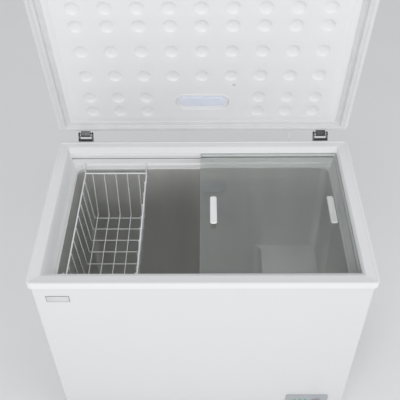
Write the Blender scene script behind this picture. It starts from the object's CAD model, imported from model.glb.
import math

import bmesh
import bpy
from mathutils import Matrix, Vector


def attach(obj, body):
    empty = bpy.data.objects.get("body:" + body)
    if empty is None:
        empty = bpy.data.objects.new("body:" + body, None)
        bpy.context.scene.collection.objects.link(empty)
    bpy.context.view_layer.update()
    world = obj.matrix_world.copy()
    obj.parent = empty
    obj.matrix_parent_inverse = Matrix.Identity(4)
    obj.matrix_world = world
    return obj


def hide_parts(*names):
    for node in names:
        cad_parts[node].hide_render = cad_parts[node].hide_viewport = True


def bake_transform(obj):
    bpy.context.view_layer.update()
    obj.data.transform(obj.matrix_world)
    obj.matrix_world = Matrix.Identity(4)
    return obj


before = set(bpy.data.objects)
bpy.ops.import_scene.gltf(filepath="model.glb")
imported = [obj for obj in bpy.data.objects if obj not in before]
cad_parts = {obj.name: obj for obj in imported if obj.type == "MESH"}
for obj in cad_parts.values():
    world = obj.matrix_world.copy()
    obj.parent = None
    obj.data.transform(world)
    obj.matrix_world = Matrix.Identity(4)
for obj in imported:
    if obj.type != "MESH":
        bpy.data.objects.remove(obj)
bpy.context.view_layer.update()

MM = 0.001

# The cabinet's and lid's main sizes, in millimetres, as the solids have them. Pairs are half x and half y
RIM_TOP = 800
SHELL = (468, 288)
SHELL_BASE = 25
SHELL_TOP = 797
TUB_LEFT = -412
TUB_RIGHT = 412
TUB_HALF_DEEP = 232
TUB_CORNER = 28
TUB_TOP = 735
TUB_FLOOR = 100
STEP_RIGHT = 211
STEP_TOP = 345
LID = (472, 295)
LID_LOW = 812
LID_HIGH = 850
PANEL_FACE = 807
HINGE_Y = 314.8
HINGE_Z = 813.7
LID_OPEN = 81
HINGE_X = 388
PANEL_X = 345
PANEL_Z = 150
KNOB_X = 377
DRAIN_X = -376
DRAIN_Z = 55
FOOT_X = 397
ROLLER_X = -414
FOOT_Y = 250
ROLLER_RADIUS = 16.5

OPEN = (
    Matrix.Translation(Vector((0, HINGE_Y, HINGE_Z)) * MM)
    @ Matrix.Rotation(math.radians(-LID_OPEN), 4, "X")
    @ Matrix.Translation(Vector((0, -HINGE_Y, -HINGE_Z)) * MM)
)


# Materials, each made of procedural nodes


class Nodes:
    """Short names for building a material's nodes."""

    def __init__(self, name):
        self.material = bpy.data.materials.new(name)
        self.material.use_nodes = True
        self.tree = self.material.node_tree
        self.shader = self.tree.nodes["Principled BSDF"]
        self.output = self.tree.nodes["Material Output"]

    def add(self, kind, **values):
        node = self.tree.nodes.new(kind)
        for key, value in values.items():
            setattr(node, key, value)
        return node

    def link(self, source, target):
        self.tree.links.new(source, target)

    def place(self, stretch=(1, 1, 1)):
        """The piece's own coordinates in metres, stretched."""
        spot = self.add("ShaderNodeTexCoord")
        mapping = self.add("ShaderNodeMapping")
        mapping.inputs["Scale"].default_value = stretch
        self.link(spot.outputs["Object"], mapping.inputs["Vector"])
        return mapping.outputs["Vector"]

    def noise(self, scale, detail=3, stretch=(1, 1, 1)):
        node = self.add("ShaderNodeTexNoise")
        node.inputs["Scale"].default_value = scale
        node.inputs["Detail"].default_value = detail
        node.inputs["Roughness"].default_value = 0.5
        self.link(self.place(stretch), node.inputs["Vector"])
        return node.outputs["Fac"]

    def ranged(self, source, low, high):
        """A noise's middle values spread from low to high."""
        node = self.add("ShaderNodeMapRange")
        for key, value in (("From Min", 0.3), ("From Max", 0.7), ("To Min", low), ("To Max", high)):
            node.inputs[key].default_value = value
        self.link(source, node.inputs["Value"])
        return node.outputs["Result"]

    def blend(self, source, first, second):
        """A colour between two, by a value from 0 to 1."""
        node = self.add("ShaderNodeMix", data_type="RGBA")
        node.inputs[6].default_value = (*first, 1)
        node.inputs[7].default_value = (*second, 1)
        self.link(source, node.inputs[0])
        return node.outputs[2]

    def bump(self, source, strength, distance, before=None):
        node = self.add("ShaderNodeBump")
        node.inputs["Strength"].default_value = strength
        node.inputs["Distance"].default_value = distance
        self.link(source, node.inputs["Height"])
        if before is not None:
            self.link(before, node.inputs["Normal"])
        return node.outputs["Normal"]


def finish_of(
    name,
    colour,
    gloss,
    drift=0.03,
    drift_scale=5,
    metal=0,
    grain=None,
    stretch=(1, 1, 1),
    coat=0,
    gloss_spread=0.05,
    extra=None,
):
    """A material whose colour and gloss drift a little. Its grain is (scale, strength, depth in mm)."""
    n = Nodes(name)
    dark = [c * (1 - drift) for c in colour]
    light = [min(1, c * (1 + drift)) for c in colour]
    n.link(n.blend(n.ranged(n.noise(drift_scale), 0, 1), dark, light), n.shader.inputs["Base Color"])
    spread = n.ranged(n.noise(drift_scale * 7, 2), gloss - gloss_spread, gloss + gloss_spread)
    n.link(spread, n.shader.inputs["Roughness"])
    n.shader.inputs["Metallic"].default_value = metal
    n.shader.inputs["Coat Weight"].default_value = coat
    n.shader.inputs["Coat Roughness"].default_value = 0.08
    if grain:
        scale, strength, depth = grain
        n.link(n.bump(n.noise(scale, 2, stretch), strength, depth * MM), n.shader.inputs["Normal"])
    for key, value in (extra or {}).items():
        n.shader.inputs[key].default_value = value
    return n.material


def liner_metal():
    """Mill-finish aluminium sheet: faint rolling streaks, soft waves and a dull sheen."""
    n = Nodes("mill_aluminium")
    streaks = n.noise(2.4, 3, (5, 1, 0.6))
    tones = ((0.66, 0.66, 0.645), (0.74, 0.74, 0.72))
    n.link(n.blend(n.ranged(streaks, 0, 1), *tones), n.shader.inputs["Base Color"])
    n.shader.inputs["Metallic"].default_value = 0.75
    n.link(n.ranged(n.noise(4, 3, (6, 1, 1)), 0.3, 0.4), n.shader.inputs["Roughness"])
    grain = n.bump(n.noise(60, 2, (14, 14, 1)), 0.03, 0.2 * MM)
    n.link(n.bump(n.noise(5, 1), 0.25, 3 * MM, grain), n.shader.inputs["Normal"])
    return n.material


def glass(name, colour, rough):
    """Clear sheet glass that lets the lamps' light through."""
    n = Nodes(name)
    n.shader.inputs["Base Color"].default_value = (*colour, 1)
    n.shader.inputs["Transmission Weight"].default_value = 1
    n.shader.inputs["IOR"].default_value = 1.5
    n.shader.inputs["Specular IOR Level"].default_value = 0.1
    n.link(n.ranged(n.noise(3, 2), rough, rough + 0.03), n.shader.inputs["Roughness"])
    through = n.add("ShaderNodeBsdfTransparent")
    through.inputs["Color"].default_value = (*[c**0.5 for c in colour], 1)
    path = n.add("ShaderNodeLightPath")
    mix = n.add("ShaderNodeMixShader")
    n.link(path.outputs["Is Shadow Ray"], mix.inputs["Fac"])
    n.link(n.shader.outputs["BSDF"], mix.inputs[1])
    n.link(through.outputs["BSDF"], mix.inputs[2])
    n.link(mix.outputs["Shader"], n.output.inputs["Surface"])
    return n.material


PAINT = finish_of("white_paint", (0.775, 0.777, 0.782), 0.3, 0.006, 2, coat=0.2, gloss_spread=0.01)
RIM_PLASTIC = finish_of("rim_plastic", (0.85, 0.853, 0.853), 0.5, 0.01, 3, grain=(320, 0.015, 0.05))
LID_PLASTIC = finish_of("lid_panel_plastic", (0.87, 0.872, 0.88), 0.34, 0.008, 3, grain=(300, 0.015, 0.05))
GASKET = finish_of("gasket_vinyl", (0.74, 0.75, 0.76), 0.5, 0.03, 20, grain=(2200, 0.1, 0.1))
LINER = liner_metal()
STEEL = finish_of("galvanised_steel", (0.56, 0.58, 0.6), 0.38, 0.12, 60, metal=1, grain=(60, 0.05, 0.3))
FOAM = finish_of("insulation_foam", (0.86, 0.8, 0.62), 0.85, 0.08, 40, grain=(700, 0.5, 0.6))
GREY_PLASTIC = finish_of("grey_plastic", (0.42, 0.44, 0.46), 0.42, 0.04, 30, grain=(1800, 0.15, 0.1))
ROLLER_PLASTIC = finish_of("roller_plastic", (0.5, 0.52, 0.54), 0.45, 0.06, 60, grain=(1500, 0.2, 0.1))
RUBBER = finish_of("black_rubber", (0.035, 0.035, 0.038), 0.65, 0.15, 60, grain=(1600, 0.3, 0.1))
CHROME = finish_of("dark_chrome", (0.1, 0.108, 0.112), 0.3, 0.2, 60, metal=1, grain=(300, 0.04, 0.1))
BRIGHT = finish_of("bright_steel", (0.78, 0.79, 0.8), 0.2, 0.06, 90, metal=1, grain=(600, 0.05, 0.1))
PIN = finish_of("plated_pin", (0.26, 0.27, 0.28), 0.24, 0.1, 60, metal=1, grain=(300, 0.05, 0.1))
WIRE_COAT = finish_of("wire_coating", (0.84, 0.85, 0.86), 0.3, 0.02, 30, grain=(500, 0.12, 0.15), coat=0.3)
LEAD = finish_of("white_lead", (0.82, 0.82, 0.81), 0.42, 0.03, 80, grain=(900, 0.15, 0.1))
ENAMEL = finish_of("black_enamel", (0.03, 0.03, 0.033), 0.35, 0.2, 25, grain=(350, 0.12, 0.2))
CAST = finish_of("cast_aluminium", (0.2, 0.21, 0.22), 0.5, 0.12, 60, metal=0.8, grain=(700, 0.35, 0.3))
COPPER = finish_of("copper", (0.72, 0.4, 0.26), 0.3, 0.18, 30, metal=1, grain=(300, 0.06, 0.1))
LENS = finish_of(
    "lamp_lens",
    (0.8, 0.84, 0.95),
    0.22,
    0.02,
    30,
    grain=(420, 0.12, 0.2),
    extra={"Subsurface Weight": 0.3, "Subsurface Radius": (0.01, 0.01, 0.01)},
)
BOARD = finish_of("lamp_board", (0.85, 0.86, 0.84), 0.5, 0.05, 60, grain=(900, 0.1, 0.1))
LAMP_GREEN = finish_of("indicator_lens", (0.12, 0.42, 0.2), 0.18, 0.1, 60, grain=(900, 0.05, 0.1), coat=0.5)
HANDLE = finish_of("handle_plastic", (0.9, 0.905, 0.9), 0.4, 0.02, 20, grain=(1400, 0.08, 0.1))
BADGE = finish_of(
    "badge_face", (0.7, 0.71, 0.71), 0.32, 0.03, 30, metal=0.15, grain=(900, 0.1, 0.1), stretch=(0.05, 1, 1)
)
BADGE_EDGE = finish_of("badge_edge", (0.3, 0.31, 0.31), 0.35, 0.05, 60, metal=0.4, grain=(900, 0.1, 0.1))
GLASS = glass("tinted_glass", (0.9, 0.914, 0.907), 0.0)
GLASS_EDGE = finish_of(
    "glass_edge", (0.36, 0.47, 0.44), 0.25, 0.1, 40, grain=(900, 0.1, 0.1), extra={"Transmission Weight": 0.3}
)

PLAIN_NODES = {
    PAINT: ["left_panel", "right_panel", "back_panel"],
    STEEL: ["base_pan", "bay_panel", "roller_brackets", "foot_stems", "thermostat"],
    FOAM: ["foam_body", "lid_foam"],
    GREY_PLASTIC: ["drain_pipe", "side_grille"],
    CHROME: ["hinge_brackets", "hinge_arms"],
    PIN: ["hinge_pins"],
    BRIGHT: ["roller_axles"],
    ENAMEL: ["compressor"],
    RUBBER: ["compressor_mounts", "supply_gland"],
    CAST: ["control_unit"],
    COPPER: ["filter_drier", "machine_pipes", "condenser_pipe", "evaporator_pipe"],
    BOARD: ["lamp_board"],
    LID_PLASTIC: ["lamp_tray"],
    RIM_PLASTIC: ["drain_spout"],
}


# Building meshes


def made(name, bm, materials, body, nodes=(), angle=35, place=None):
    """Turns a bmesh in millimetres into a smooth-shaded piece that rides on a body."""
    bmesh.ops.recalc_face_normals(bm, faces=bm.faces)
    mesh = bpy.data.meshes.new(name)
    bm.to_mesh(mesh)
    bm.free()
    mesh.transform(Matrix.Scale(MM, 4))
    if place is not None:
        mesh.transform(place)
    mesh.shade_smooth()
    mesh.set_sharp_from_angle(angle=math.radians(angle))
    for material in materials if isinstance(materials, list) else [materials]:
        mesh.materials.append(material)
    piece = bpy.data.objects.new(name, mesh)
    bpy.context.scene.collection.objects.link(piece)
    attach(piece, body)
    if nodes:
        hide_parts(*nodes)
    return piece


def outline(half_x, half_y, radius, z, centre=(0, 0), steps=8):
    """A level loop of points round a rectangle with round corners."""
    points = []
    for side_x, side_y, start in ((1, -1, -90), (1, 1, 0), (-1, 1, 90), (-1, -1, 180)):
        x = centre[0] + side_x * (half_x - radius)
        y = centre[1] + side_y * (half_y - radius)
        for i in range(steps + 1):
            angle = math.radians(start + 90 * i / steps)
            points.append((x + radius * math.cos(angle), y + radius * math.sin(angle), z))
    return points


def tub_loop(right, z, inset=0):
    """A level loop round the tub, whose right-hand side can stand further in."""
    left = TUB_LEFT + inset
    half = (right - inset - left) / 2
    return outline(half, TUB_HALF_DEEP - inset, TUB_CORNER - inset * 0.5, z, (left + half, 0))


def skinned(bm, loops, closed=False, caps=(True, True), cyclic=True, slot=0):
    """Faces between loops of the same number of points."""
    rows = [[bm.verts.new(p) for p in loop] for loop in loops]
    count = len(rows[0])
    pairs = list(zip(rows, rows[1:]))
    if closed:
        pairs.append((rows[-1], rows[0]))
    for low, high in pairs:
        for i in range(count if cyclic else count - 1):
            j = (i + 1) % count
            corners = [low[i], low[j], high[j], high[i]]
            sides = [(corners[1].co - corners[0].co), (corners[2].co - corners[1].co)]
            other = [(corners[2].co - corners[3].co), (corners[3].co - corners[0].co)]
            area = sides[0].cross(sides[1]).length + other[0].cross(other[1]).length
            if area > 1e-6:
                bm.faces.new(corners).material_index = slot
    if not closed:
        if caps[0]:
            bm.faces.new(rows[0]).material_index = slot
        if caps[1]:
            bm.faces.new(rows[-1]).material_index = slot
    return rows


def ring_piece(
    name, levels, material, body, nodes=(), place=None, closed=True, centre=(0, 0), steps=8, angle=35
):
    """A band swept round a rounded rectangle: levels are (half x, half y, corner, z)."""
    bm = bmesh.new()
    skinned(bm, [outline(*level, centre, steps) for level in levels], closed)
    made(name, bm, material, body, nodes, angle, place)


def turned(name, profile, centre, axis, material, body, nodes=(), segments=48, bm=None):
    """A turned piece, or one more in a given mesh. Its profile is (radius, distance along the axis)."""
    own = bm is None
    if own:
        bm = bmesh.new()
    turn = Vector((0, 0, 1)).rotation_difference(Vector(axis)).to_matrix()
    centre = Vector(centre)
    rows = []
    for radius, along in profile:
        if radius == 0:
            rows.append([bm.verts.new(centre + turn @ Vector((0, 0, along)))])
            continue
        row = []
        for i in range(segments):
            a = 2 * math.pi * i / segments
            around = Vector((radius * math.cos(a), radius * math.sin(a), along))
            row.append(bm.verts.new(centre + turn @ around))
        rows.append(row)
    for low, high in zip(rows, rows[1:]):
        for i in range(segments):
            j = (i + 1) % segments
            corners = [low[i % len(low)], low[j % len(low)], high[j % len(high)], high[i % len(high)]]
            unique = list(dict.fromkeys(corners))
            if len(unique) > 2:
                bm.faces.new(unique)
    if own:
        made(name, bm, material, body, nodes, 40)


def wires(name, lines, radius, body, nodes):
    """Stiff bent wires as one piece. Each corner's bend is held between two close points."""
    corner = 5
    curve = bpy.data.curves.new(name, "CURVE")
    curve.dimensions = "3D"
    curve.bevel_depth = radius * MM
    curve.bevel_resolution = 3
    curve.resolution_u = 6
    curve.use_fill_caps = True
    for line in lines:
        points = [Vector(line[0])]
        for before, bend, after in zip(line, line[1:], line[2:]):
            bend = Vector(bend)
            for neighbour in (Vector(before), Vector(after)):
                reach = (neighbour - bend).length
                points.append(bend + (neighbour - bend) * min(0.45, corner / reach))
                if neighbour == Vector(before):
                    points.append(bend)
        points.append(Vector(line[-1]))
        spline = curve.splines.new("NURBS")
        spline.points.add(len(points) - 1)
        for spot, point in zip(spline.points, points):
            spot.co = (*(point * MM), 1)
        spline.order_u = 3
        spline.use_endpoint_u = True
    curve.materials.append(WIRE_COAT)
    piece = bpy.data.objects.new(name, curve)
    bpy.context.scene.collection.objects.link(piece)
    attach(piece, body)
    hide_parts(*nodes)


def block(bm, low, high, bevel=0.6, segments=2, slot=0):
    """Adds a block with softened edges."""
    made_verts = bmesh.ops.create_cube(bm, size=1)["verts"]
    for v in made_verts:
        v.co = Vector([a + (b - a) * (c + 0.5) for a, b, c in zip(low, high, v.co)])
    edges = {e for v in made_verts for e in v.link_edges}
    faces = {f for v in made_verts for f in v.link_faces}
    for face in faces:
        face.material_index = slot
    bmesh.ops.bevel(
        bm, geom=list(edges), offset=bevel, segments=segments, profile=0.5, affect="EDGES", material=-1
    )


def screw(bm, centre, axis, radius=3.2):
    """Adds a pan-head screw with a pointed recess in its top."""
    top = 2.0
    recess = radius * 0.45
    profile = [(0, 0), (radius, 0), (radius, 0.6), (radius * 0.85, 1.5), (recess, top)]
    turned("", profile, centre, axis, None, None, segments=16, bm=bm)
    turn = Vector((0, 0, 1)).rotation_difference(Vector(axis)).to_matrix()
    spot = Vector(centre)
    for i in range(4):
        start = math.pi / 2 * i + 0.4
        ends = (start, start + math.pi / 2)
        corners = [Vector((math.cos(a) * recess, math.sin(a) * recess, top)) for a in ends]
        corners.append(Vector((0, 0, 1.1)))
        bm.faces.new([bm.verts.new(spot + turn @ p) for p in corners])


# Cabinet


def make_front():
    """The front sheet with its corners folded round to the sides and its lower edge turned under."""
    bm = bmesh.new()
    side_fold_end = -268
    radius = 8

    def fold(z, inset):
        points = [(-SHELL[0] + inset, side_fold_end, z)]
        for side_x, start in ((-1, 180), (1, 270)):
            for i in range(9):
                angle = math.radians(start + 90 * i / 8)
                reach = radius - inset
                x = side_x * (SHELL[0] - radius) + reach * math.cos(angle)
                points.append((x, -SHELL[1] + radius + reach * math.sin(angle), z))
        points.append((SHELL[0] - inset, side_fold_end, z))
        return points

    lower_edge = ((SHELL_BASE, 6), (SHELL_BASE, 1.4), (SHELL_BASE + 0.4, 0.4), (SHELL_BASE + 1.4, 0))
    upper_edge = ((SHELL_TOP, 0), (SHELL_TOP, 1))
    inside = ((SHELL_BASE + 1, 1), (SHELL_BASE + 1, 6))
    skinned(bm, [fold(*level) for level in lower_edge + upper_edge + inside], closed=True, cyclic=False)
    made("front_sheet", bm, PAINT, "cabinet", ["front_panel"])


def make_rim():
    """The moulded rim: bead, flange and skirt, plain sloping ends, and long sides stepped for the glass."""
    levels = [
        (473.8, 293.8, 12.8, 778),
        (475, 295, 14, 779),
        (475, 295, 14, 800.6),
        (474.6, 294.6, 13.6, 801.5),
        (473.6, 293.6, 12.6, 802),
        (469, 289, 8, 802),
        (467.8, 287.8, 6.8, 801.6),
        (467.2, 287.2, 6.2, 800.9),
        (466.8, 286.8, 5.8, 800.3),
        (466, 286, 5.4, 800),
        (442, 267, 2, 800),
        (441.2, 266.2, 1.4, 799.7),
        (440.6, 265.4, 1.2, 799),
        (436.6, 250.6, 1.2, 788.3),
        (436.4, 250, 1.2, 787.6),
        (434.5, 250, 1.2, 782.5),
        (434.35, 249.6, 1.2, 782),
        (434.2, 245.7, 1.2, 782),
        (434.1, 245, 1.2, 781.4),
        (430.5, 245, 1.2, 771.4),
        (430.4, 244.6, 1.2, 771),
        (430.3, 239.7, 1.2, 771),
        (430.2, 239, 1.2, 770.4),
        (422.7, 239, 1.2, 750.4),
        (422.5, 238.6, 1.2, 750),
        (422.4, 234.3, 19, 750),
        (422, 233.5, 20, 749.4),
        (417.2, 233.5, 20, 735),
        (433, 242, 8, 735),
        (433, 242, 8, 771),
        (444, 269, 8, 771),
        (444, 269, 8, 797),
        (472, 292, 11, 797),
        (472, 292, 11, 778),
    ]
    ring_piece("rim_moulding", levels, RIM_PLASTIC, "cabinet", ["rim_frame"])


def make_liner():
    """The tub: straight walls, the step over the machinery and rounded folds where sheets meet."""
    bm = bmesh.new()
    loops = [
        outline(433, 242, 8, TUB_TOP),
        outline(413, 233, TUB_CORNER, TUB_TOP),
        outline(412.3, 232.3, TUB_CORNER, TUB_TOP - 0.3),
        tub_loop(TUB_RIGHT, TUB_TOP - 1),
    ]
    fold = 7
    for i in range(6):
        a = math.pi / 2 * i / 5
        loops.append(tub_loop(TUB_RIGHT - fold * (1 - math.cos(a)), STEP_TOP + fold * (1 - math.sin(a))))
    nose = 3
    for i in range(6):
        a = math.pi / 2 * i / 5
        loops.append(tub_loop(STEP_RIGHT + nose * (1 - math.sin(a)), STEP_TOP - nose * (1 - math.cos(a))))
    foot = 12
    for i in range(6):
        a = math.pi / 2 * i / 5
        inset = foot * (1 - math.cos(a))
        loops.append(tub_loop(STEP_RIGHT, TUB_FLOOR + foot * (1 - math.sin(a)), inset))
    skinned(bm, loops, caps=(False, True))
    bmesh.ops.remove_doubles(bm, verts=bm.verts, dist=0.001)
    tub = made("tub", bm, LINER, "cabinet", ["liner"], angle=50)
    thick = tub.modifiers.new("sheet", "SOLIDIFY")
    thick.thickness = 0.9 * MM
    thick.offset = -1


def make_front_marks():
    """A blank plate in a thin grey edge where a badge would be, and two domed plugs."""
    low = (-432, -SHELL[1] - 1, 712)
    high = (-367, -SHELL[1], 738)
    bm = bmesh.new()
    block(bm, low, high, 0.4, slot=1)
    block(bm, (low[0] + 1.5, low[1] - 0.15, low[2] + 1.5), (high[0] - 1.5, high[1], high[2] - 1.5), 0.4)
    made("blank_badge", bm, [BADGE, BADGE_EDGE], "cabinet", ["badge_plate"])
    bm = bmesh.new()
    for x in (96.5, 114):
        profile = [(0, 0), (2.8, 0), (2.8, 0.4), (2.4, 0.8), (1.2, 1.0), (0, 1.0)]
        turned("", profile, (x, -SHELL[1], RIM_TOP - 28), (0, -1, 0), None, None, segments=20, bm=bm)
    made("domed_plugs", bm, GREY_PLASTIC, "cabinet", ["hole_plugs"])


def make_drain():
    """The drain's round cap with its grip bar."""
    spot = (DRAIN_X, -SHELL[1] - 2.3, DRAIN_Z)
    bm = bmesh.new()
    profile = [(12.2, 0.2), (16, 0), (17, 1), (17, 8.5), (16.2, 11), (14.5, 12), (11, 11.4), (0, 11.2)]
    turned("", profile, spot, (0, -1, 0), None, None, bm=bm)
    socket = [(12.2, 0.2), (12.2, 9), (0, 9)]
    turned("", socket, spot, (0, -1, 0), None, None, bm=bm)
    low = (spot[0] - 2.5, spot[1] - 17, spot[2] - 11)
    high = (spot[0] + 2.5, spot[1] - 11, spot[2] + 11)
    block(bm, low, high, 1.2, 3)
    made("cap_with_grip", bm, RIM_PLASTIC, "drain_cap", ["drain_cap"])


def make_controls():
    """The control panel, its three lamps and the thermostat's fluted knob with a pointer."""
    bm = bmesh.new()
    face = -SHELL[1]
    levels = [(70, 40, 8, 0), (70, 40, 8, 2.6), (69.4, 39.4, 7.4, 3.6), (68.4, 38.4, 6.6, 4)]
    loops = []
    for half_x, half_z, radius, out in levels:
        edge = outline(half_x, half_z, radius, 0)
        loops.append([(x + PANEL_X, face - out, z + PANEL_Z) for x, z, _ in edge])
    skinned(bm, loops)
    made("control_plate", bm, GREY_PLASTIC, "cabinet", ["control_panel"])
    bm = bmesh.new()
    for i in range(3):
        x = PANEL_X - 18 * i - 4
        z = PANEL_Z + 14
        block(bm, (x - 5, face - 4.8, z - 2), (x + 5, face, z + 2), 0.5)
    made("lamp_windows", bm, LAMP_GREEN, "cabinet", ["indicator_lamps"])
    bm = bmesh.new()
    centre = Vector((KNOB_X, face - 4.3, PANEL_Z))
    flutes = 20
    rows = []
    profile = [(3.2, 0.1), (17, 0), (18, 0.8), (18, 4), (17.2, 5), (15.4, 5.4), (14.6, 6)]
    profile += [(14, 12.4), (13.2, 13.6), (11, 14)]
    for radius, along in profile:
        fluted = 5.6 < along < 13.8
        row = []
        for i in range(flutes * 6):
            a = 2 * math.pi * i / (flutes * 6)
            r = radius - (0.9 * (0.5 + 0.5 * math.cos(a * flutes)) if fluted else 0)
            row.append((centre.x + r * math.cos(a), centre.y - along, centre.z + r * math.sin(a)))
        rows.append(row)
    skinned(bm, rows, caps=(True, True))
    low = (centre.x - 0.8, centre.y - 14, centre.z + 2)
    high = (centre.x + 0.8, centre.y - 13.4, centre.z + 12)
    block(bm, low, high, 0.2, slot=1)
    made("fluted_knob", bm, [GREY_PLASTIC, RIM_PLASTIC], "thermostat_knob", ["thermostat_knob"])


def make_feet():
    """Fixed feet at the right and rollers at the left."""
    bm = bmesh.new()
    for side in (-1, 1):
        profile = [(0, 0), (15, 0), (17.4, 0.8), (18, 2), (18, 6.4), (16.6, 9), (14.6, 10), (0, 10)]
        turned("", profile, (FOOT_X, FOOT_Y * side, 0), (0, 0, 1), None, None, bm=bm)
    made("rubber_feet", bm, RUBBER, "cabinet", ["foot_pads"])
    for name, side in (("front_roller", -1), ("back_roller", 1)):
        profile = [(3.05, 0), (8, 0), (9, 1.2), (12.6, 1.2), (13.4, 0.2), (15.4, 0), (ROLLER_RADIUS, 1.4)]
        profile += [(ROLLER_RADIUS, 20.6), (15.4, 22), (13.4, 21.8), (12.6, 20.8), (9, 20.8), (8, 22)]
        profile += [(3.05, 22), (3.05, 0)]
        centre = (ROLLER_X, FOOT_Y * side - 11, ROLLER_RADIUS)
        turned(name + "_wheel", profile, centre, (0, 1, 0), ROLLER_PLASTIC, name, [name])


# Lid


def make_lid_skin():
    """The lid's painted pan with soft edges and its lip turned in over the inner panel."""
    levels = [
        (466, 289, 8, 849),
        (471, 294, 13, 844),
        (471, 294, 13, 814),
        (460, 283, 10, 814),
        (460, 283, 10, LID_LOW + 0.4),
        (460.4, 283.4, 10, LID_LOW),
        (471, 294, 13, LID_LOW),
        (471.7, 294.7, 13.7, LID_LOW + 0.4),
        (472, 295, 14, 813.2),
    ]
    round_edge = 6
    for i in range(7):
        a = math.pi / 2 * i / 6
        inset = round_edge * (1 - math.cos(a))
        levels.append((LID[0] - inset, LID[1] - inset, 14 - inset, LID_HIGH - round_edge * (1 - math.sin(a))))
    ring_piece("lid_pan", levels, PAINT, "lid", ["lid_skin"], OPEN, closed=False)


DIMPLE_ROWS = (98, 158, 248, 342, 432, 492)
DIMPLE_COLUMNS = 9
DIMPLE_PITCH = 86.7
DIMPLE_PROFILE = ((21.6, 0), (20.8, 0.1), (19.9, 0.5), (18.6, 1.4), (16, 2.7), (12, 3.8), (7, 4.35))
LAMP_FROM_EDGE = 138
LAMP_ROWS = 2
LAMP_COLUMNS = range(3, 6)
CELL_STEPS = 12


def rounded_point(x, y, half_x, half_y, radius, centre=(0, 0)):
    """The nearest point of a rounded rectangle's edge to a point outside it or on its sharp edge."""
    x, y = x - centre[0], y - centre[1]
    inner_x = max(-half_x + radius, min(half_x - radius, x))
    inner_y = max(-half_y + radius, min(half_y - radius, y))
    way = Vector((x - inner_x, y - inner_y))
    way = way.normalized() * radius
    return centre[0] + inner_x + way.x, centre[1] + inner_y + way.y


def cell_edge(x_lines, y_lines):
    """Points round a block of cells, anticlockwise, with the same steps along each cell's side."""

    def steps(lines):
        spots = []
        for a, b in zip(lines, lines[1:]):
            spots += [a + (b - a) * i / CELL_STEPS for i in range(CELL_STEPS)]
        return spots

    points = [(x, y_lines[0]) for x in steps(x_lines)]
    points += [(x_lines[-1], y) for y in steps(y_lines)]
    points += [(x, y_lines[-1]) for x in steps(x_lines[::-1])]
    points += [(x_lines[0], y) for y in steps(y_lines[::-1])]
    return points


def make_lid_panel():
    """The inner panel: a raised field of shallow round dimples, a step and the flange for the seal."""
    bm = bmesh.new()
    half = DIMPLE_COLUMNS / 2
    columns = [DIMPLE_PITCH * (i - half) for i in range(DIMPLE_COLUMNS + 1)]
    breaks = [68] + [(a + b) / 2 for a, b in zip(DIMPLE_ROWS, DIMPLE_ROWS[1:])] + [522]
    breaks = [LID[1] - s for s in breaks]
    for row, from_hinge in enumerate(DIMPLE_ROWS):
        y = LID[1] - from_hinge
        for column in range(DIMPLE_COLUMNS):
            if row < LAMP_ROWS and column in LAMP_COLUMNS:
                continue
            x = (columns[column] + columns[column + 1]) / 2
            edge = cell_edge(columns[column : column + 2], [breaks[row + 1], breaks[row]])
            loops = [[(px, py, PANEL_FACE) for px, py in edge]]
            for radius, depth in DIMPLE_PROFILE:
                loop = []
                for px, py in edge:
                    way = Vector((px - x, py - y)).normalized() * radius
                    loop.append((x + way.x, y + way.y, PANEL_FACE + depth))
                loops.append(loop)
            rows = skinned(bm, loops, caps=(False, False))
            middle = bm.verts.new((x, y, PANEL_FACE + 4.5))
            last = rows[-1]
            for i, v in enumerate(last):
                bm.faces.new([v, last[(i + 1) % len(last)], middle])
    lamp_y = LID[1] - LAMP_FROM_EDGE
    lamp_lines = columns[LAMP_COLUMNS.start : LAMP_COLUMNS.stop + 1]
    edge = cell_edge(lamp_lines, breaks[LAMP_ROWS::-1])
    loops = [[(px, py, PANEL_FACE) for px, py in edge]]
    for grow, z in ((4.2, 0), (3.4, -0.9), (2.2, -1.2), (1, -0.9), (0.2, 0.2), (0, 1), (0, 5)):
        size = (82 + grow, 30 + grow, 29.9 + grow)
        loops.append([(*rounded_point(px, py, *size, (0, lamp_y)), PANEL_FACE + z) for px, py in edge])
    skinned(bm, loops, caps=(False, False))
    edge = cell_edge(columns, breaks[::-1])
    field_x, field_y = columns[-1], breaks[0]
    loops = [[(px, py, PANEL_FACE) for px, py in edge]]
    steps = [
        (408.2, 231.2, 18.2, 0),
        (409.2, 232.2, 19.2, 0.3),
        (409.9, 232.9, 19.9, 1),
        (410.4, 233.4, 20.4, 3.6),
        (411, 234, 21, 4.6),
        (412.4, 235.4, 22.4, 5),
        (459.7, 282.7, 9.7, 5),
        (459.7, 282.7, 9.7, 6.9),
    ]
    for half_x, half_y, radius, z in steps:
        loop = []
        for px, py in edge:
            point = rounded_point(px * half_x / field_x, py * half_y / field_y, half_x, half_y, radius)
            loop.append((*point, PANEL_FACE + z))
        loops.append(loop)
    skinned(bm, loops, caps=(False, False))
    bmesh.ops.remove_doubles(bm, verts=bm.verts, dist=0.01)
    made("dimpled_panel", bm, LID_PLASTIC, "lid", ["lid_liner"], 40, OPEN)
    bm = bmesh.new()
    y = LID[1] - 210
    block(bm, (91, y - 1.6, PANEL_FACE - 0.5), (101, y + 1.6, PANEL_FACE + 0.5), 0.4)
    made("panel_slot_plug", bm, GREY_PLASTIC, "lid", place=OPEN)


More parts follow.
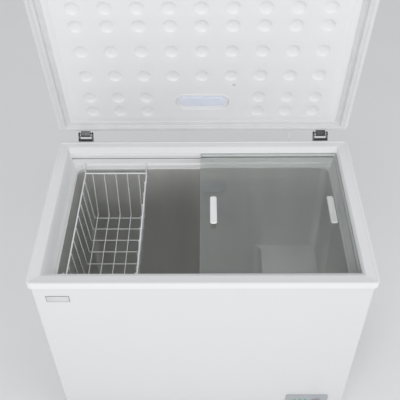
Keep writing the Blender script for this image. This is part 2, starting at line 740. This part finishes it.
def make_gasket():
    """The seal: a ribbed base pushed into the panel's edge and a hollow-looking bulb on it."""
    levels = [
        (456, 279, 14, 812),
        (456, 279, 14, 803.4),
        (455.4, 278.4, 13.4, 801.6),
        (454, 277, 12.4, 800.6),
        (452, 275, 11.4, 800.4),
        (448, 271, 8.4, 800.4),
        (446, 269, 7, 800.8),
        (444.6, 267.6, 6.2, 801.8),
        (444, 267, 6, 803.4),
        (444, 267, 6, 808.4),
        (443, 266, 5.6, 809.4),
        (438, 261, 4.6, 809.6),
        (436.8, 259.8, 4.4, 808.9),
        (434.6, 257.6, 4.2, 808.9),
        (433.4, 256.4, 4, 809.8),
        (429.6, 252.6, 4, 810),
        (428.4, 251.4, 4, 810.6),
        (428, 251, 4, 812),
    ]
    ring_piece("seal", levels, GASKET, "lid", ["lid_gasket"], OPEN, angle=60)


def make_lamp():
    """The lamp's lens, softly crowned, with a fine ribbed edge."""
    y = LID[1] - LAMP_FROM_EDGE
    levels = [
        (72, 20, 19.9, 812.5),
        (72, 20, 19.9, 809.8),
        (71.5, 19.5, 19.4, 808.8),
        (70.2, 18.2, 18.1, 808.1),
        (67, 15, 14.9, 807.7),
        (60, 8, 7.9, 807.5),
    ]
    ring_piece("lamp_cover", levels, LENS, "lid", ["lamp_lens"], OPEN, False, (0, y), 12)


# Hinges and lead


def make_hinge_details():
    """Wound springs on the pins, and the screws that hold the hinges."""
    turns = 2.5
    steps = 36
    spring_radius = 5.9
    lines = []
    for side in (-1, 1):
        for low, high in ((-20, -15.6), (15.6, 20)):
            line = []
            for i in range(steps + 1):
                a = 2 * math.pi * turns * i / steps
                x = side * HINGE_X + low + 0.9 + (high - low - 1.8) * i / steps
                line.append((x, HINGE_Y + spring_radius * math.cos(a), HINGE_Z + spring_radius * math.sin(a)))
            lines.append(line)
    curve = bpy.data.curves.new("wound_springs", "CURVE")
    curve.dimensions = "3D"
    curve.bevel_depth = 0.8 * MM
    curve.bevel_resolution = 2
    curve.use_fill_caps = True
    for line in lines:
        spline = curve.splines.new("POLY")
        spline.points.add(len(line) - 1)
        for spot, point in zip(spline.points, line):
            spot.co = (*(Vector(point) * MM), 1)
    curve.materials.append(BRIGHT)
    piece = bpy.data.objects.new("wound_springs", curve)
    bpy.context.scene.collection.objects.link(piece)
    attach(piece, "cabinet")
    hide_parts("hinge_springs")
    bm = bmesh.new()
    for side in (-1, 1):
        for x in (-14, 14):
            for z in (760, 700):
                screw(bm, (side * HINGE_X + x, SHELL[1] + 2.5, z), (0, 1, 0))
    made("bracket_screws", bm, BRIGHT, "cabinet")
    bm = bmesh.new()
    for side in (-1, 1):
        for x in (-15.5, 15.5):
            screw(bm, (side * HINGE_X + x, LID[1] + 2.5, 838), (0, 1, 0), 2.6)
    made("arm_screws", bm, BRIGHT, "lid", place=OPEN)


def make_lead():
    """The lamp's lead, by the points of part.py's route, and its two grommets."""
    x = 285
    route = [
        (x, 291, 762),
        (x, 301, 762),
        (x, 307, 771),
        (x, 307, 792.5),
        (x, 318.609, 817.138),
        (x, 316.419, 830.966),
    ]
    curve = bpy.data.curves.new("lead_line", "CURVE")
    curve.dimensions = "3D"
    curve.resolution_u = 12
    spline = curve.splines.new("NURBS")
    spline.points.add(len(route) - 1)
    for spot, point in zip(spline.points, route):
        spot.co = (*(Vector(point) * MM), 1)
    spline.order_u = 3
    spline.use_endpoint_u = True
    holder = bpy.data.objects.new("lead_line", curve)
    bpy.context.scene.collection.objects.link(holder)
    line = bpy.data.meshes.new_from_object(holder)
    curve.bevel_depth = 1.5 * MM
    curve.bevel_resolution = 4
    curve.use_fill_caps = True
    tube = bpy.data.meshes.new_from_object(holder)
    bpy.data.objects.remove(holder)
    tube.shade_smooth()
    tube.materials.clear()
    tube.materials.append(LEAD)
    lead = bpy.data.objects.new("lid_lamp_lead", tube)
    bpy.context.scene.collection.objects.link(lead)
    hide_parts("lamp_lead")
    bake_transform(lead)
    profile = [(1.7, 0), (5, 0), (5, 0.8), (4.4, 1.8), (3, 3), (1.7, 3)]
    low = (x, SHELL[1], 762)
    turned("cabinet_grommet", profile, low, (0, 1, 0), LEAD, "cabinet", ["cabinet_lead_grommet"], 28)
    bm = bmesh.new()
    turned("", profile, (x, LID[1], 818), (0, 1, 0), None, None, segments=28, bm=bm)
    made("lid_grommet", bm, LEAD, "lid", ["lid_lead_grommet"], place=OPEN)


# Glass and basket


def make_pane(name, left, right, half_deep, top, handle_x, handle_y):
    """A pane with ground, greener edges and its raised white pull."""
    bm = bmesh.new()
    centre = ((left + right) / 2, 0)
    half = (right - left) / 2
    low = top - 4
    loops = [
        outline(half - 0.5, half_deep - 0.5, 3.5, low, centre),
        outline(half, half_deep, 4, low + 0.5, centre),
        outline(half, half_deep, 4, top - 0.5, centre),
        outline(half - 0.5, half_deep - 0.5, 3.5, top, centre),
    ]
    skinned(bm, loops, slot=1)
    for face in bm.faces:
        if len(face.verts) > 4:
            face.material_index = 0
    made(name + "_pane", bm, [GLASS, GLASS_EDGE], name, [name])
    bm = bmesh.new()
    loops = []
    shape = ((10, 0), (10, 3), (9.6, 4.4), (8.6, 5.2), (7.4, 5.5), (5.4, 5.2), (4.4, 4.9))
    for half_wide, up in shape:
        inset = 10 - half_wide
        loops.append(outline(half_wide, 55 - inset, max(0.5, 6 - inset), top + up, (handle_x, handle_y), 6))
    skinned(bm, loops)
    made(name + "_pull", bm, HANDLE, name, [name + "_handle"], 50)


def make_basket():
    """Bent and welded wires with a white coating."""
    left, right = -389, -187
    centre = (left + right) / 2
    rail_z = 723
    riser = 223
    seat = 236.4
    arch = 756.5
    hook_end = 750.4
    end_rail = 218
    floor_z = 555
    floor_over_z = 558.2
    hangers = []
    for x in (left, right):
        line = []
        for side in (-1, 1):
            outer = [(x, side * seat, hook_end), (x, side * seat, arch)]
            half = outer + [(x, side * riser, arch), (x, side * riser, rail_z)]
            line += half if side < 0 else half[::-1]
        hangers.append(line)
    wires("hanger_wires", hangers, 2.5, "basket", ["basket_hangers"])
    ends = [[(left, side * end_rail, rail_z + 5), (right, side * end_rail, rail_z + 5)] for side in (-1, 1)]
    wires("end_rails", ends, 2.5, "basket", ["basket_end_rails"])
    inner = 4.1
    lines = []
    for i in range(8):
        y = 50.8 * (i - 3.5)
        low_left = left + inner + 11
        low_right = right - inner - 11
        lines.append(
            [
                (left + inner, y, rail_z + 2.5),
                (left + inner, y, rail_z - 4),
                (low_left, y, floor_z),
                (low_right, y, floor_z),
                (right - inner, y, rail_z - 4),
                (right - inner, y, rail_z + 2.5),
            ]
        )
    wires("cross_wires", lines, 1.6, "basket", ["basket_left", "basket_right"])
    lines = []
    top = end_rail - inner
    for i in range(5):
        x = centre + 38 * (i - 2)
        low = top - 20
        ends = [(x, -top, rail_z + 7.5), (x, top, rail_z + 7.5)]
        lines.append([ends[0], (x, -low, floor_over_z), (x, low, floor_over_z), ends[1]])
    wires("long_wires", lines, 1.6, "basket", ["basket_floor", "basket_front", "basket_back"])


# Camera, stage and light


def make_camera():
    """The photograph's view, as worked out from the rim's corners."""
    pitch = math.radians(45.12346)
    yaw = math.radians(-0.940166)
    roll = math.radians(-0.838602)
    ahead = Vector((math.sin(yaw) * math.cos(pitch), math.cos(yaw) * math.cos(pitch), -math.sin(pitch)))
    right = Vector((math.cos(yaw), -math.sin(yaw), 0))
    down = ahead.cross(right)
    across = right * math.cos(roll) - down * math.sin(roll)
    below = right * math.sin(roll) + down * math.cos(roll)
    data = bpy.data.cameras.new("camera")
    data.sensor_width = 36
    data.lens = 58.233
    camera = bpy.data.objects.new("camera", data)
    matrix = Matrix((across, -below, -ahead)).transposed().to_4x4()
    matrix.translation = (0.014865, -1.352389, 2.179722)
    camera.matrix_world = matrix
    bpy.context.scene.collection.objects.link(camera)
    bpy.context.scene.camera = camera


def make_stage():
    """A pale floor, soft light from all round and two large lamps in front."""
    n = Nodes("pale_floor")
    tones = ((0.87, 0.87, 0.875), (0.9, 0.9, 0.905))
    n.link(n.blend(n.ranged(n.noise(1.5), 0, 1), *tones), n.shader.inputs["Base Color"])
    n.shader.inputs["Roughness"].default_value = 0.7
    bpy.ops.mesh.primitive_plane_add(size=14, location=(0, 0, -0.0002))
    floor = bpy.context.object
    floor.name = "floor"
    floor.data.materials.append(n.material)
    world = bpy.data.worlds.new("studio")
    bpy.context.scene.world = world
    world.use_nodes = True
    tree = world.node_tree
    light = tree.nodes["Background"]
    light.inputs["Color"].default_value = (0.97, 0.98, 1, 1)
    light.inputs["Strength"].default_value = 0.62
    seen = tree.nodes.new("ShaderNodeBackground")
    seen.inputs["Color"].default_value = (0.93, 0.935, 0.94, 1)
    seen.inputs["Strength"].default_value = 1
    path = tree.nodes.new("ShaderNodeLightPath")
    mix = tree.nodes.new("ShaderNodeMixShader")
    tree.links.new(path.outputs["Is Camera Ray"], mix.inputs["Fac"])
    tree.links.new(light.outputs["Background"], mix.inputs[1])
    tree.links.new(seen.outputs["Background"], mix.inputs[2])
    tree.links.new(mix.outputs["Shader"], tree.nodes["World Output"].inputs["Surface"])
    for name, spot, aim, size, power in (
        ("key", (-0.5, -3.0, 2.1), (0, 0.2, 0.9), 2.2, 36),
        ("fill", (2.4, -1.6, 2.4), (0, 0, 0.7), 2.0, 14),
    ):
        data = bpy.data.lights.new(name, "AREA")
        data.size = size
        data.energy = power
        lamp = bpy.data.objects.new(name, data)
        lamp.location = spot
        lamp.rotation_euler = (Vector(aim) - Vector(spot)).to_track_quat("-Z", "Y").to_euler()
        bpy.context.scene.collection.objects.link(lamp)
    bpy.context.scene.view_settings.view_transform = "Standard"


def dress_nodes():
    """Gives each solid that stays its material."""
    for material, names in PLAIN_NODES.items():
        for name in names:
            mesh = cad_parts[name].data
            mesh.materials.clear()
            mesh.materials.append(material)


make_camera()
make_lead()
dress_nodes()
make_front()
make_rim()
make_liner()
make_front_marks()
make_drain()
make_controls()
make_feet()
make_lid_skin()
make_lid_panel()
make_gasket()
make_lamp()
make_hinge_details()
make_pane("upper_glass", left=-7, right=434, half_deep=249.5, top=786.3, handle_x=32.5, handle_y=-9)
make_pane("lower_glass", left=-6.5, right=427.5, half_deep=244.5, top=775.3, handle_x=388.5, handle_y=0)
make_basket()
make_stage()
